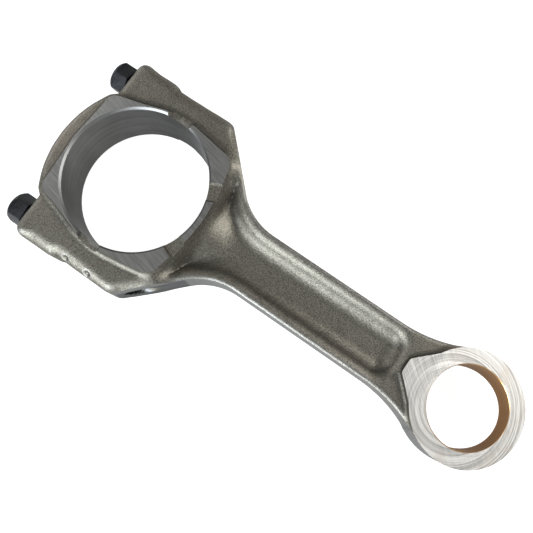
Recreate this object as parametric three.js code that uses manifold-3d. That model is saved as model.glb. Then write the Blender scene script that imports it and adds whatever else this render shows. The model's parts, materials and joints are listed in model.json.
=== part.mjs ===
// Connecting rod for a mid-size diesel engine, lying flat, in millimetres.
// X runs from the big end to the small end and Z is up along both bore axes.
// Z = 0 is the underside of the big end, and the origin is under the middle of the whole rod.
// The two halves above and below MID_Z are alike, as are the two sides of Y = 0.
// Plan sizes are measured from the big-end axis.

import * as THREE from 'three';
import { mergeVertices } from 'three/addons/utils/BufferGeometryUtils.js';
import Module from 'manifold-3d';

const wasm = await Module();
wasm.setup();

// Whole rod
const CENTRES = 192;
const BIG_X = -85.5;
const EYE_X = BIG_X + CENTRES;
const BIG_WIDTH = 34.4;
const MID_Z = BIG_WIDTH / 2;

// Big end: bore, raised thrust pad and the forged body around it
const BORE_R = 36.5;
const BORE_CHAMFER = 1.5;
const PAD_HALF = BIG_WIDTH / 2;
const BODY_HALF = 14.6;
const BODY_ROUND = 4;
const CROWN_R = 58.9;
const CROWN_APEX = 47.4;
const CROWN_SIDE_Y = 30;
const CAP_HALF_WIDTH = 54.5;
const ROD_HALF_WIDTH = 52.8;
const STEP_START_X = -16;
const STEP_END_X = -11;
const CAP_CORNER_R = 6;
const SHOULDER_START_X = 16.5;
const SHOULDER_END_X = 25;
const SHOULDER_LINE = 74.3;
const WEB_R = 44;
const WEB_TURN = Math.PI / 5;
const CROWN_BLEND = 2.6;
const SHANK_ROOT_X = 5;
const SPLIT_GAP = 0.05;

// Outline of the thrust pad: cap edge, rounded cap corner, side, rounded rod corner and rod edge
const PAD_CAP_EDGE = [[-38.4, 0], [-36.6, 24]];
const PAD_CAP_CORNER = { x: -31.2, y: 27.2, r: 5.4 };
const PAD_CAP_CORNER_END = Math.PI * 0.56;
const PAD_SIDE = [[-20, 34.8], [-9, 37.9], [0, 38.9], [9, 38.5], [20, 36.9]];
const PAD_ROD_CORNER = { x: 27.6, y: 27.2, r: 8.4 };
const PAD_ROD_CORNER_START = Math.PI * 0.42;
const PAD_ROD_EDGE = [[37.8, 20], [39.6, 8], [40, 0]];

// Oil notches pressed across the thrust pad
const NOTCH_DEPTH = 1.3;
const NOTCH_LENGTH = 14;
const NOTCH_INSET = 3;
const SPLIT_NOTCH = 12;
const SIDE_NOTCH = 8;
const SIDE_NOTCH_ANGLE = THREE.MathUtils.degToRad(24);

// Shank: an I-beam with a pocket in each face
const RAIL_HALF = 11.2;
const RAIL_ROUND = 2;
const SHANK_HALF_WIDTH = 16.4;
const WEB_HALF = 4.7;
const POCKET_HALF_WIDTH = 13;
const TROUGH_ROUND = 4;
const FORK_ROUND = 1;
const FLARE_R = 33;
const FLARE_START_X = 71.5;
const NECK_R = 69;
const NECK_START_X = 146;
const POCKET_END_X = 155;
const POCKET_END_R = 9;
const TROUGH_START_X = 54;
const TROUGH_TURN = Math.PI * 0.61;
const FORK_WEDGE = [[61, 0], [58, 4], [43, 21.5], [42, 26.5]];
const FORK_TURN = Math.PI * 0.74;

// Small end: a keystone eye with a bronze bush
const EYE_R = 28;
const EYE_HALF = 14.7;
const KEYSTONE_SLOPE = 0.1814;
const KEYSTONE_START = -22.5;
const EYE_BORE_R = 22;
const BUSH_GAP = 0.05;
const BUSH_R = 20;
const BUSH_CHAMFER = 0.5;
const MOUTH_DEPTH = 8;
const CHEVRON_TIP_X = 157;
const CHEVRON_TIP_HALF = 3.5;
const CHEVRON_BASE_X = 176;

// Cap bolts, M11 x 1.25
const BOLT_Y = 43.5;
const SEAT_X = -36;
const SEAT_R = 9.2;
const SEAT_GAP = 0.05;
const HEAD_END_X = -49;
const FLANGE_R = 8.6;
const FLANGE_RIM = 1.2;
const FLANGE_HEIGHT = 3;
const FLANGE_EDGE = 0.4;
const FLANGE_TAPER = 0.3;
const HEX_FLATS = 15;
const HEAD_CHAMFER = 1.6;
const HEX_MARGIN = 0.2;
const STEM_OVERLAP = 1;
const THREAD_LEAD_IN = 1;
const THREAD_R = 5.5;
const SHANK_R = 5.2;
const THREAD_START_X = -4;
const BOLT_END_X = 22;
const CAP_HOLE_R = 5.75;
const ROD_HOLE_R = 5.65;
const HEX_TURN_UPPER = THREE.MathUtils.degToRad(8);
const HEX_TURN_LOWER = THREE.MathUtils.degToRad(-20);

// Roundness
const BORE_SIDES = 80;
const HOLE_SIDES = 28;
const ARC_STEPS = 10;
const BEVEL_STEPS = 2;
const FAR = 400;
const CUT_CLEAR = 10;

const steel = { color: 0x6f6a60, roughness: 0.62, metalness: 0.85 };
const bronze = { color: 0x9a6f42, roughness: 0.35, metalness: 0.95 };
const blackOxide = { color: 0x2b2d31, roughness: 0.45, metalness: 0.8 };

// A closed manifold-3d solid of a three.js geometry.
function solidOf(geometry) {
  const bare = geometry.index ? geometry.toNonIndexed() : geometry.clone();
  bare.deleteAttribute('normal');
  bare.deleteAttribute('uv');
  const welded = mergeVertices(bare, 1e-4);
  const vertProperties = new Float32Array(welded.attributes.position.array);
  const triVerts = new Uint32Array(welded.index.array);
  return new wasm.Manifold(new wasm.Mesh({ numProp: 3, vertProperties, triVerts }));
}

// The three.js geometry of a manifold-3d solid.
function geometryOf(solid) {
  const mesh = solid.getMesh();
  const geometry = new THREE.BufferGeometry();
  geometry.setAttribute('position', new THREE.BufferAttribute(new Float32Array(mesh.vertProperties), 3));
  geometry.setIndex(new THREE.BufferAttribute(new Uint32Array(mesh.triVerts), 1));
  geometry.computeVertexNormals();
  return geometry;
}

// Points along a circular arc, from one angle to another.
function arc(x, y, radius, from, to, steps = ARC_STEPS) {
  const points = [];
  for (let i = 0; i <= steps; i += 1) {
    const angle = from + (to - from) * i / steps;
    points.push(new THREE.Vector2(x + radius * Math.cos(angle), y + radius * Math.sin(angle)));
  }
  return points;
}

// Plan points from [x, y] pairs.
function vectors(pairs) {
  return pairs.map(([x, y]) => new THREE.Vector2(x, y));
}

// A closed outline from its upper half, which runs from the low-X end to the high-X end.
function mirrored(half) {
  const lower = half.filter((p) => p.y > 1e-6).map((p) => new THREE.Vector2(p.x, -p.y));
  return new THREE.Shape([...lower, ...half.slice().reverse()]);
}

// A plate on both sides of MID_Z. Its edges are rounded inwards, so the outline is its size at the middle.
function plate(shape, half, round = 0) {
  const geometry = new THREE.ExtrudeGeometry(shape, {
    depth: 2 * (half - round),
    bevelEnabled: round > 0,
    bevelThickness: round,
    bevelSize: round,
    bevelOffset: -round,
    bevelSegments: BEVEL_STEPS,
    curveSegments: ARC_STEPS,
  });
  geometry.translate(BIG_X, 0, MID_Z - half + round);
  return solidOf(geometry);
}

// A solid of revolution about an upright axis, from [radius, height] pairs that start and end on the axis.
function turned(profile, x, sides) {
  const geometry = new THREE.LatheGeometry(profile.map(([r, z]) => new THREE.Vector2(r, z)), sides);
  geometry.rotateX(Math.PI / 2);
  geometry.translate(x, 0, 0);
  return solidOf(geometry);
}

// A solid of revolution about a bolt axis, from [radius, x] pairs in order of growing x.
function turnedAlongX(profile, y, sides) {
  const points = profile.map(([r, x]) => new THREE.Vector2(r, x));
  const geometry = new THREE.LatheGeometry(points, sides);
  geometry.rotateZ(-Math.PI / 2);
  geometry.translate(BIG_X, y, MID_Z);
  return solidOf(geometry);
}

// Half a box that keeps everything on one side of the split.
function splitSide(sign) {
  const geometry = new THREE.BoxGeometry(FAR, FAR, FAR);
  geometry.translate(BIG_X + sign * (FAR + SPLIT_GAP) / 2, 0, MID_Z);
  return solidOf(geometry);
}

// The forged big end in plan: crown, bolt bosses and shoulders.
function bigEndOutline() {
  const crownX = CROWN_R - CROWN_APEX;
  const crownAngle = Math.asin(CROWN_SIDE_Y / CROWN_R);
  const cornerX = SEAT_X + CAP_CORNER_R;
  const cornerY = CAP_HALF_WIDTH - CAP_CORNER_R;
  const half = [
    ...arc(crownX, 0, CROWN_R, Math.PI, Math.PI - crownAngle),
    new THREE.Vector2(SEAT_X, CROWN_SIDE_Y + CROWN_BLEND),
    ...arc(cornerX, cornerY, CAP_CORNER_R, Math.PI, Math.PI / 2, 4),
    new THREE.Vector2(STEP_START_X, CAP_HALF_WIDTH),
    new THREE.Vector2(STEP_END_X, ROD_HALF_WIDTH),
    ...shoulderBend(),
    new THREE.Vector2(SHOULDER_LINE / 2, SHOULDER_LINE / 2),
    ...arc(0, 0, WEB_R, WEB_TURN, 0),
  ];
  return mirrored(half);
}

// The rounded corner between the boss side and the 45 degree shoulder.
function shoulderBend() {
  const end = new THREE.Vector2(SHOULDER_END_X, SHOULDER_LINE - SHOULDER_END_X);
  const start = new THREE.Vector2(SHOULDER_START_X, ROD_HALF_WIDTH);
  const corner = new THREE.Vector2(SHOULDER_LINE - ROD_HALF_WIDTH, ROD_HALF_WIDTH);
  return new THREE.QuadraticBezierCurve(start, corner, end).getPoints(6);
}

// The I-beam in plan: shoulder, flare, straight shank and the neck that meets the eye.
function shankOutline() {
  const flareTop = SHANK_HALF_WIDTH + FLARE_R;
  const neckTop = SHANK_HALF_WIDTH + NECK_R;
  const neckTurn = Math.atan2(CENTRES - NECK_START_X, neckTop);
  const half = [
    new THREE.Vector2(SHANK_ROOT_X, 0),
    new THREE.Vector2(SHANK_ROOT_X, ROD_HALF_WIDTH),
    ...shoulderBend(),
    ...arc(FLARE_START_X, flareTop, FLARE_R, -Math.PI * 3 / 4, -Math.PI / 2),
    ...arc(NECK_START_X, neckTop, NECK_R, -Math.PI / 2, -Math.PI / 2 + neckTurn),
    new THREE.Vector2(CENTRES, EYE_R - 1),
    new THREE.Vector2(CENTRES, 0),
  ];
  return mirrored(half);
}

// The raised pad that is machined to the big end's width.
function padOutline() {
  const cap = PAD_CAP_CORNER;
  const rod = PAD_ROD_CORNER;
  return mirrored([
    ...vectors(PAD_CAP_EDGE),
    ...arc(cap.x, cap.y, cap.r, Math.PI, PAD_CAP_CORNER_END, 5),
    ...vectors(PAD_SIDE),
    ...arc(rod.x, rod.y, rod.r, PAD_ROD_CORNER_START, 0, 6),
    ...vectors(PAD_ROD_EDGE),
  ]);
}

// The trough of the shank pocket in plan.
function troughOutline() {
  const flareTop = SHANK_HALF_WIDTH + FLARE_R;
  const half = [
    new THREE.Vector2(TROUGH_START_X, 0),
    ...arc(FLARE_START_X, flareTop, railReach(), -TROUGH_TURN, -Math.PI / 2),
    ...arc(POCKET_END_X - POCKET_END_R, POCKET_HALF_WIDTH - POCKET_END_R, POCKET_END_R, Math.PI / 2, 0, 6),
    new THREE.Vector2(POCKET_END_X, 0),
  ];
  return mirrored(half);
}

// How far the inner edge of a rail lies from the centre of its flare.
function railReach() {
  return FLARE_R + SHANK_HALF_WIDTH - POCKET_HALF_WIDTH;
}

// The fork of the pocket in plan: two arms that reach for the shoulders on either side of a wedge of web.
function forkOutline() {
  const flareTop = SHANK_HALF_WIDTH + FLARE_R;
  const half = [
    ...vectors(FORK_WEDGE),
    ...arc(FLARE_START_X, flareTop, railReach(), -FORK_TURN, -Math.PI / 2),
    new THREE.Vector2(FLARE_START_X, 0),
  ];
  return mirrored(half);
}

// One outline sunk into both faces down to the web, with rounded floor edges.
function sunk(shape, round) {
  const geometry = new THREE.ExtrudeGeometry(shape, {
    depth: PAD_HALF,
    bevelEnabled: true,
    bevelThickness: round,
    bevelSize: round,
    bevelOffset: -round,
    bevelSegments: BEVEL_STEPS,
  });
  const lower = geometry.clone();
  geometry.translate(BIG_X, 0, MID_Z + WEB_HALF + round);
  lower.translate(BIG_X, 0, MID_Z - WEB_HALF - round - PAD_HALF);
  return solidOf(geometry).add(solidOf(lower));
}

// The pockets of both faces.
function pockets() {
  return sunk(troughOutline(), TROUGH_ROUND).add(sunk(forkOutline(), FORK_ROUND));
}

// The pointed land between the shank and the eye, level with the eye's flat faces.
function chevronOutline() {
  const rise = CHEVRON_BASE_X - CHEVRON_TIP_X;
  const half = [
    new THREE.Vector2(CHEVRON_TIP_X, 0),
    new THREE.Vector2(CHEVRON_TIP_X, CHEVRON_TIP_HALF),
    new THREE.Vector2(CHEVRON_BASE_X, CHEVRON_TIP_HALF + rise),
    new THREE.Vector2(CENTRES, CHEVRON_TIP_HALF + rise),
    new THREE.Vector2(CENTRES, 0),
  ];
  return mirrored(half);
}

// Everything outside the eye's two faces, which taper towards the tip.
function keystoneWaste() {
  const startX = CENTRES + KEYSTONE_START;
  const endX = CENTRES + EYE_R + CUT_CLEAR;
  const drop = (endX - startX) * KEYSTONE_SLOPE;
  const side = new THREE.Shape([
    new THREE.Vector2(startX, EYE_HALF),
    new THREE.Vector2(endX, EYE_HALF - drop),
    new THREE.Vector2(endX, EYE_HALF + CUT_CLEAR),
    new THREE.Vector2(startX, EYE_HALF + CUT_CLEAR),
  ]);
  const upper = new THREE.ExtrudeGeometry(side, { depth: 4 * EYE_R, bevelEnabled: false });
  upper.translate(0, 0, -2 * EYE_R);
  upper.rotateX(Math.PI / 2);
  const lower = upper.clone();
  lower.rotateX(Math.PI);
  upper.translate(BIG_X, 0, MID_Z);
  lower.translate(BIG_X, 0, MID_Z);
  return solidOf(upper).add(solidOf(lower));
}

// An upright cylinder through the whole rod.
function through(x, radius, sides) {
  const low = -CUT_CLEAR;
  const high = BIG_WIDTH + CUT_CLEAR;
  return turned([[0, low], [radius, low], [radius, high], [0, high]], x, sides);
}

// The big-end bore with a chamfer at each face.
function bigBore() {
  const wide = BORE_R + BORE_CHAMFER + 1;
  const profile = [
    [0, -1],
    [wide, -1],
    [BORE_R, BORE_CHAMFER],
    [BORE_R, BIG_WIDTH - BORE_CHAMFER],
    [wide, BIG_WIDTH + 1],
    [0, BIG_WIDTH + 1],
  ];
  return turned(profile, BIG_X, BORE_SIDES);
}

// One notch across the pad ring, at an angle around the big-end axis, in both faces.
function notch(width, angle) {
  const cut = new THREE.BoxGeometry(NOTCH_LENGTH, width, 2 * NOTCH_DEPTH);
  cut.translate(BORE_R - NOTCH_INSET + NOTCH_LENGTH / 2, 0, 0);
  cut.rotateZ(angle);
  const lower = cut.clone();
  cut.translate(BIG_X, 0, BIG_WIDTH);
  lower.translate(BIG_X, 0, 0);
  return solidOf(cut).add(solidOf(lower));
}

// All the notches of the pad ring.
function notches() {
  let all = notch(SPLIT_NOTCH, Math.PI / 2).add(notch(SPLIT_NOTCH, -Math.PI / 2));
  for (const side of [1, -1]) {
    all = all.add(notch(SIDE_NOTCH, side * SIDE_NOTCH_ANGLE));
  }
  return all;
}

// The bolt hole of one side: a clearance hole in the cap, then the thread in the rod, open at the shoulder.
function boltHole(y) {
  const profile = [
    [0, HEAD_END_X - CUT_CLEAR],
    [SEAT_R, HEAD_END_X - CUT_CLEAR],
    [SEAT_R, SEAT_X],
    [CAP_HOLE_R, SEAT_X],
    [CAP_HOLE_R, 0],
    [ROD_HOLE_R, 0],
    [ROD_HOLE_R, SHOULDER_LINE],
    [0, SHOULDER_LINE],
  ];
  return turnedAlongX(profile, y, HOLE_SIDES);
}

// The whole forging after machining, before it is split at the big-end bore.
function wholeRod() {
  const forging = plate(bigEndOutline(), BODY_HALF, BODY_ROUND)
    .add(plate(shankOutline(), RAIL_HALF, RAIL_ROUND))
    .subtract(pockets())
    .add(plate(padOutline(), PAD_HALF))
    .add(plate(chevronOutline(), EYE_HALF))
    .add(eyeBlank());
  return forging
    .subtract(keystoneWaste())
    .subtract(bigBore())
    .subtract(through(EYE_X, EYE_BORE_R, BORE_SIDES))
    .subtract(notches())
    .subtract(boltHole(BOLT_Y))
    .subtract(boltHole(-BOLT_Y));
}

// The round eye before its faces are tapered.
function eyeBlank() {
  const low = MID_Z - EYE_HALF;
  const high = MID_Z + EYE_HALF;
  return turned([[0, low], [EYE_R, low], [EYE_R, high], [0, high]], EYE_X, BORE_SIDES);
}

// The bronze bush, cut flush with the tapered faces of the eye and chamfered in the bore.
function bush() {
  const outer = EYE_BORE_R - BUSH_GAP;
  const low = MID_Z - EYE_HALF;
  const high = MID_Z + EYE_HALF;
  const profile = [[BUSH_R, low], [outer, low], [outer, high], [BUSH_R, high], [BUSH_R, low]];
  return turned(profile, EYE_X, BORE_SIDES).subtract(keystoneWaste()).subtract(bushMouths());
}

// Two flat cones that chamfer the bush along its tapered faces.
function bushMouths() {
  const tilt = Math.atan(KEYSTONE_SLOPE);
  const faceHalf = EYE_HALF + KEYSTONE_START * KEYSTONE_SLOPE;
  const wide = BUSH_R + BUSH_CHAMFER;
  const profile = [
    [0, -MOUTH_DEPTH],
    [BUSH_R - MOUTH_DEPTH, -MOUTH_DEPTH],
    [wide, BUSH_CHAMFER / 2],
    [wide, MOUTH_DEPTH],
    [0, MOUTH_DEPTH],
  ];
  const points = profile.map(([r, z]) => new THREE.Vector2(r, z));
  const upper = new THREE.LatheGeometry(points, BORE_SIDES);
  upper.rotateX(Math.PI / 2);
  upper.rotateY(tilt);
  upper.translate(0, 0, faceHalf);
  const lower = upper.clone();
  lower.rotateX(Math.PI);
  upper.translate(EYE_X, 0, MID_Z);
  lower.translate(EYE_X, 0, MID_Z);
  return solidOf(upper).add(solidOf(lower));
}

// A flanged hex bolt. Its hex is turned about the bolt axis as it was tightened.
function capBolt(y, hexTurn) {
  const head = HEAD_END_X;
  const seat = SEAT_X - SEAT_GAP;
  const corner = HEX_FLATS / Math.sqrt(3);
  const hex = new THREE.CylinderGeometry(corner, corner, seat - head, 6);
  hex.rotateY(hexTurn);
  hex.rotateZ(-Math.PI / 2);
  hex.translate(BIG_X + (seat + head) / 2, y, MID_Z);
  const crownCut = turnedAlongX([
    [0, head],
    [corner - HEAD_CHAMFER, head],
    [corner + HEX_MARGIN, head + HEAD_CHAMFER],
    [corner + HEX_MARGIN, seat],
    [0, seat],
  ], y, HOLE_SIDES);
  const flange = turnedAlongX([
    [0, seat - FLANGE_HEIGHT],
    [HEX_FLATS / 2 - FLANGE_EDGE, seat - FLANGE_HEIGHT],
    [FLANGE_R - FLANGE_TAPER, seat - FLANGE_RIM],
    [FLANGE_R, seat - FLANGE_RIM + FLANGE_EDGE],
    [FLANGE_R, seat],
    [0, seat],
  ], y, HOLE_SIDES);
  const stem = turnedAlongX([
    [0, seat - STEM_OVERLAP],
    [SHANK_R, seat - STEM_OVERLAP],
    [SHANK_R, THREAD_START_X - THREAD_LEAD_IN],
    [THREAD_R, THREAD_START_X],
    [THREAD_R, BOLT_END_X - THREAD_LEAD_IN],
    [THREAD_R - THREAD_LEAD_IN, BOLT_END_X],
    [0, BOLT_END_X],
  ], y, HOLE_SIDES);
  return solidOf(hex).intersect(crownCut).add(flange).add(stem);
}

// A named mesh of one solid.
function piece(name, solid, finish) {
  const mesh = new THREE.Mesh(geometryOf(solid), new THREE.MeshStandardMaterial(finish));
  mesh.name = name;
  return mesh;
}

const rod = wholeRod();
const assembly = new THREE.Group();
assembly.add(piece('rod_body', rod.intersect(splitSide(1)), steel));
assembly.add(piece('rod_cap', rod.intersect(splitSide(-1)), steel));
assembly.add(piece('small_end_bush', bush(), bronze));
assembly.add(piece('cap_bolt_upper', capBolt(BOLT_Y, HEX_TURN_UPPER), blackOxide));
assembly.add(piece('cap_bolt_lower', capBolt(-BOLT_Y, HEX_TURN_LOWER), blackOxide));

export default assembly;
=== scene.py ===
"""A forged connecting rod: the forging, its machined faces, a bronze bush and two cap bolts."""

import json
import logging
import math
from dataclasses import dataclass, field
from enum import IntEnum
from typing import Any, Callable, Union

import bmesh
import bpy
import numpy as np
from mathutils import Matrix, Vector


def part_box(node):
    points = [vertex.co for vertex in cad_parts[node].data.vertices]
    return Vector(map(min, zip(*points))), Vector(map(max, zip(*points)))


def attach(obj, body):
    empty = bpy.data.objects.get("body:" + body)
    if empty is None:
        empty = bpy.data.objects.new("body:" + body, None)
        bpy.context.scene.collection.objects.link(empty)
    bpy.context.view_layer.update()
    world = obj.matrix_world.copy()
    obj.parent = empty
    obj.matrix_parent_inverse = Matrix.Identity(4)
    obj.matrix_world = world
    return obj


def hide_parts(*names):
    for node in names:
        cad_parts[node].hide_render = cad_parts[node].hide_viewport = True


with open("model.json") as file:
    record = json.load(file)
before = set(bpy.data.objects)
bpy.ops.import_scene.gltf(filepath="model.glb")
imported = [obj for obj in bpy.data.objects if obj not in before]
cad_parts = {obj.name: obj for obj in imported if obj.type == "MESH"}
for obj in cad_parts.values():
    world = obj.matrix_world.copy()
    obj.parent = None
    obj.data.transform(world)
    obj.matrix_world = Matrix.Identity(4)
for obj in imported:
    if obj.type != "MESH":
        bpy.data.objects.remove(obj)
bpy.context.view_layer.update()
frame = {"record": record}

Array = np.ndarray
Outline = list[tuple[float, float]]
MM = 0.001
LOG = logging.getLogger("connecting_rod")
FAR = 1e9
TINY = 0.02
FLAT = 0.99
BORE_SIDES = 256
EYE_SIDES = 192
BOLT_SIDES = 96
THREAD_SIDES = 64
CRISP_ANGLE = 30


class Surface(IntEnum):
    """How a face of the rod or cap was made. The value is its material slot."""

    FORGED = 0
    THRUST = 1
    BORE = 2
    FLANK = 3
    EYE_FACE = 4
    SPLIT = 5
    THREAD = 6
    CHAMFER = 7


@dataclass(frozen=True)
class Datum:
    """Where the axes of the rod lie, in millimetres of the CAD frame."""

    big_x: float
    eye_x: float
    mid_z: float
    bolt_y: float
    head_end: float

    @classmethod
    def from_frame(cls) -> "Datum":
        """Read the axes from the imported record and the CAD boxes.

        Returns:
            The datum in millimetres.
        """
        record = frame["record"]
        low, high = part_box("small_end_bush")
        head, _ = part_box("cap_bolt_upper")
        joint = next(j for j in record["behaviour"]["joints"] if j["name"] == "bolt_upper_turn")
        hole = next(o for o in record["physics"]["openings"] if o["name"] == "big_end_bore")
        big_x = (hole["box_m"][0][0] + hole["box_m"][1][0]) / 2 / MM
        return cls(
            big_x=big_x,
            eye_x=(low.x + high.x) / 2 / MM,
            mid_z=joint["pos_m"][2] / MM,
            bolt_y=joint["pos_m"][1] / MM,
            head_end=head.x / MM - big_x,
        )


# ---------------------------------------------------------------- plan outlines


def arc(x: float, y: float, radius: float, start: float, end: float, steps: int = 24) -> Outline:
    """Points along a circular arc.

    Args:
        x: Centre.
        y: Centre.
        radius: Radius.
        start: First angle in degrees.
        end: Last angle in degrees.
        steps: Number of segments.

    Returns:
        The points in order.
    """
    angles = np.radians(np.linspace(start, end, steps + 1))
    return [(x + radius * math.cos(a), y + radius * math.sin(a)) for a in angles]


def mirrored(half: Outline) -> Array:
    """Close an outline across y = 0.

    Args:
        half: The upper half, from the low-x end to the high-x end.

    Returns:
        All points as an array.
    """
    lower = [(x, -y) for x, y in half if y > 1e-6]
    return np.array(lower + half[::-1])


def polygon_distance(outline: Array, x: Array, y: Array) -> Array:
    """Signed distance to a closed outline, negative inside.

    Args:
        outline: Points of the outline.
        x: Sample positions.
        y: Sample positions.

    Returns:
        The distance at every sample.
    """
    nearest = np.full(np.broadcast(x, y).shape, FAR)
    inside = np.zeros(nearest.shape, bool)
    for (ax, ay), (bx, by) in zip(outline, np.roll(outline, -1, axis=0)):
        ex, ey = bx - ax, by - ay
        along = np.clip(((x - ax) * ex + (y - ay) * ey) / (ex * ex + ey * ey), 0, 1)
        nearest = np.minimum(nearest, (x - ax - ex * along) ** 2 + (y - ay - ey * along) ** 2)
        if ay != by:
            crosses = ((ay > y) != (by > y)) & (x < ex * (y - ay) / ey + ax)
            inside ^= crosses
    return np.where(inside, -1.0, 1.0) * np.sqrt(nearest)


def smooth_min(a: Array, b: Array, blend: Union[float, Array]) -> Array:
    """The smaller of two fields with a fillet where they meet."""
    over = np.maximum(blend - np.abs(a - b), 0) / blend
    return np.minimum(a, b) - over * over * blend / 4


def smooth_step(value: Array, start: float, end: float) -> Array:
    """A ramp from 0 at start to 1 at end with soft ends."""
    t = np.clip((value - start) / (end - start), 0, 1)
    return t * t * (3 - 2 * t)


def rounded_slab(plan: Array, height: Array, half: float, radius: float) -> Array:
    """A plate with rounded edges, as a signed distance.

    Args:
        plan: Signed distance to the outline in plan.
        height: Distance from the middle plane.
        half: Half thickness.
        radius: Edge radius.

    Returns:
        The signed distance.
    """
    side = plan + radius
    top = height - half + radius
    return np.hypot(np.maximum(side, 0), np.maximum(top, 0)) + np.minimum(np.maximum(side, top), 0) - radius


# ---------------------------------------------------------------- mesh tools


def mesh_object(name: str, points: Array, faces: list) -> bpy.types.Object:
    """Make a mesh object from millimetre points and link it to the scene.

    Args:
        name: Name of the object.
        points: Vertex positions in millimetres.
        faces: Vertex numbers of each face.

    Returns:
        The object.
    """
    mesh = bpy.data.meshes.new(name)
    mesh.from_pydata((np.asarray(points, float) * MM).tolist(), [], faces)
    mesh.validate()
    mesh.update()
    thing = bpy.data.objects.new(name, mesh)
    bpy.context.scene.collection.objects.link(thing)
    return thing


def prism(outline: Array, low: float, high: float, datum: Datum) -> bpy.types.Object:
    """An upright prism of a plan outline, used as a cutter.

    Args:
        outline: Counter-clockwise or clockwise plan points.
        low: Lowest height from the middle plane.
        high: Highest height from the middle plane.
        datum: The rod's axes.

    Returns:
        The prism.
    """
    area = np.sum(outline[:, 0] * np.roll(outline[:, 1], -1) - np.roll(outline[:, 0], -1) * outline[:, 1])
    ring = outline if area > 0 else outline[::-1]
    n = len(ring)
    plan = ring + [datum.big_x, 0]
    points = [(x, y, datum.mid_z + z) for z in (low, high) for x, y in plan]
    faces = [list(range(n))[::-1], list(range(n, 2 * n))]
    faces += [[i, (i + 1) % n, n + (i + 1) % n, n + i] for i in range(n)]
    return mesh_object("prism", np.array(points), faces)


def lathe(
    profile: Outline, sides: int, place: Callable[[Array], Array], name: str = "lathe"
) -> bpy.types.Object:
    """A closed solid of revolution.

    Args:
        profile: (radius, height) pairs that start and end on the axis, in order of height.
        sides: Number of sides.
        place: Moves points from (x, y, height) about the axis to millimetres of the frame.
        name: Name of the object.

    Returns:
        The solid.
    """
    inner = profile[1:-1]
    angles = np.linspace(0, 2 * math.pi, sides, endpoint=False)
    rings = [(r * math.cos(a), r * math.sin(a), h) for r, h in inner for a in angles]
    points = np.array(rings + [(0, 0, profile[0][1]), (0, 0, profile[-1][1])])
    foot, tip = len(points) - 2, len(points) - 1
    last = (len(inner) - 1) * sides
    faces: list = []
    for i in range(sides):
        j = (i + 1) % sides
        faces.append([foot, j, i])
        faces.append([tip, last + i, last + j])
        for row in range(len(inner) - 1):
            a, b = row * sides, (row + 1) * sides
            faces.append([a + i, a + j, b + j, b + i])
    return mesh_object(name, place(points), faces)


def upright(x: float, z: float) -> Callable[[Array], Array]:
    """Put a turned solid on an upright axis at x, with height 0 at z."""
    return lambda p: p + [x, 0, z]


def along_x(datum: Datum, y: float) -> Callable[[Array], Array]:
    """Put a turned solid on a bolt axis, with height measured from the big-end axis towards the small end."""
    return lambda p: np.stack([p[:, 2] + datum.big_x, p[:, 0] + y, p[:, 1] + datum.mid_z], 1)


def carve(target: bpy.types.Object, tools: list, operation: str = "DIFFERENCE") -> None:
    """Cut, keep or join solids in place and remove the tools.

    Args:
        target: The solid that changes.
        tools: Solids used one after another.
        operation: DIFFERENCE, INTERSECT or UNION.
    """
    for tool in tools:
        cut = target.modifiers.new("cut", "BOOLEAN")
        cut.operation, cut.object, cut.solver = operation, tool, "MANIFOLD"
        graph = bpy.context.evaluated_depsgraph_get()
        made = bpy.data.meshes.new_from_object(target.evaluated_get(graph))
        target.modifiers.clear()
        old, target.data = target.data, made
        bpy.data.meshes.remove(old)
        bpy.data.objects.remove(tool)
        if len(made.polygons) == 0:
            raise RuntimeError(f"{operation} left nothing of {target.name}")


def shade(thing: bpy.types.Object, angle: float) -> None:
    """Smooth shading with crisp edges above an angle.

    Args:
        thing: Mesh object.
        angle: Degrees.
    """
    work = bmesh.new()
    work.from_mesh(thing.data)
    limit = math.radians(angle)
    for edge in work.edges:
        edge.smooth = len(edge.link_faces) == 2 and edge.calc_face_angle(0.0) < limit
    for face in work.faces:
        face.smooth = True
    work.to_mesh(thing.data)
    work.free()


def duplicate(thing: bpy.types.Object, name: str) -> bpy.types.Object:
    """A second copy of a mesh object.

    Args:
        thing: Mesh object.
        name: Name of the copy.

    Returns:
        The copy.
    """
    other = bpy.data.objects.new(name, thing.data.copy())
    bpy.context.scene.collection.objects.link(other)
    return other


# ---------------------------------------------------------------- finishes


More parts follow.
